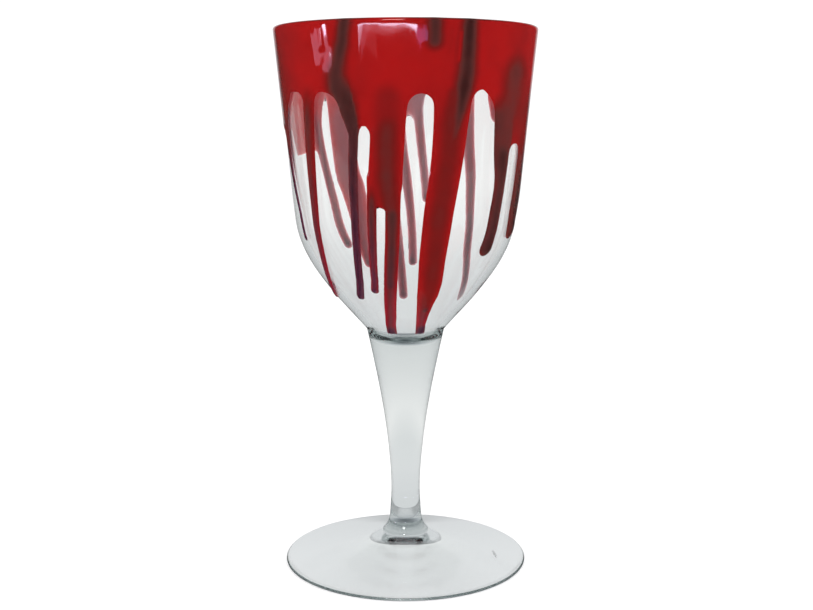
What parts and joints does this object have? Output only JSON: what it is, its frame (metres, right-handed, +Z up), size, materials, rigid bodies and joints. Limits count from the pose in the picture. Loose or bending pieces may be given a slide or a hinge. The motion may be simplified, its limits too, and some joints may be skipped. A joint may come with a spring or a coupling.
{
  "type": "stemmed wine glass with a red paint coat",
  "caption": "Clear stemmed wine glass with a deep bowl, a tapered stem and a round foot; a glossy red paint coat runs down from the rim in long fingers.",
  "frame": {"origin": "on the axis of the glass, at the level of the ring under the foot that it stands on", "axes": "+Z up the stem towards the rim; -Y faces the two widest runs of paint"},
  "size_m": [0.0878, 0.0878, 0.18],
  "materials": {
    "clear_glass": "clear, smooth, fire polished",
    "red_paint": "wet-look cured paint, thick and dark down the middle of each run"
  },
  "bodies": {
    "root": {"clear_glass_goblet": "clear_glass", "red_paint_coat": "red_paint"}
  },
  "joints": []
}
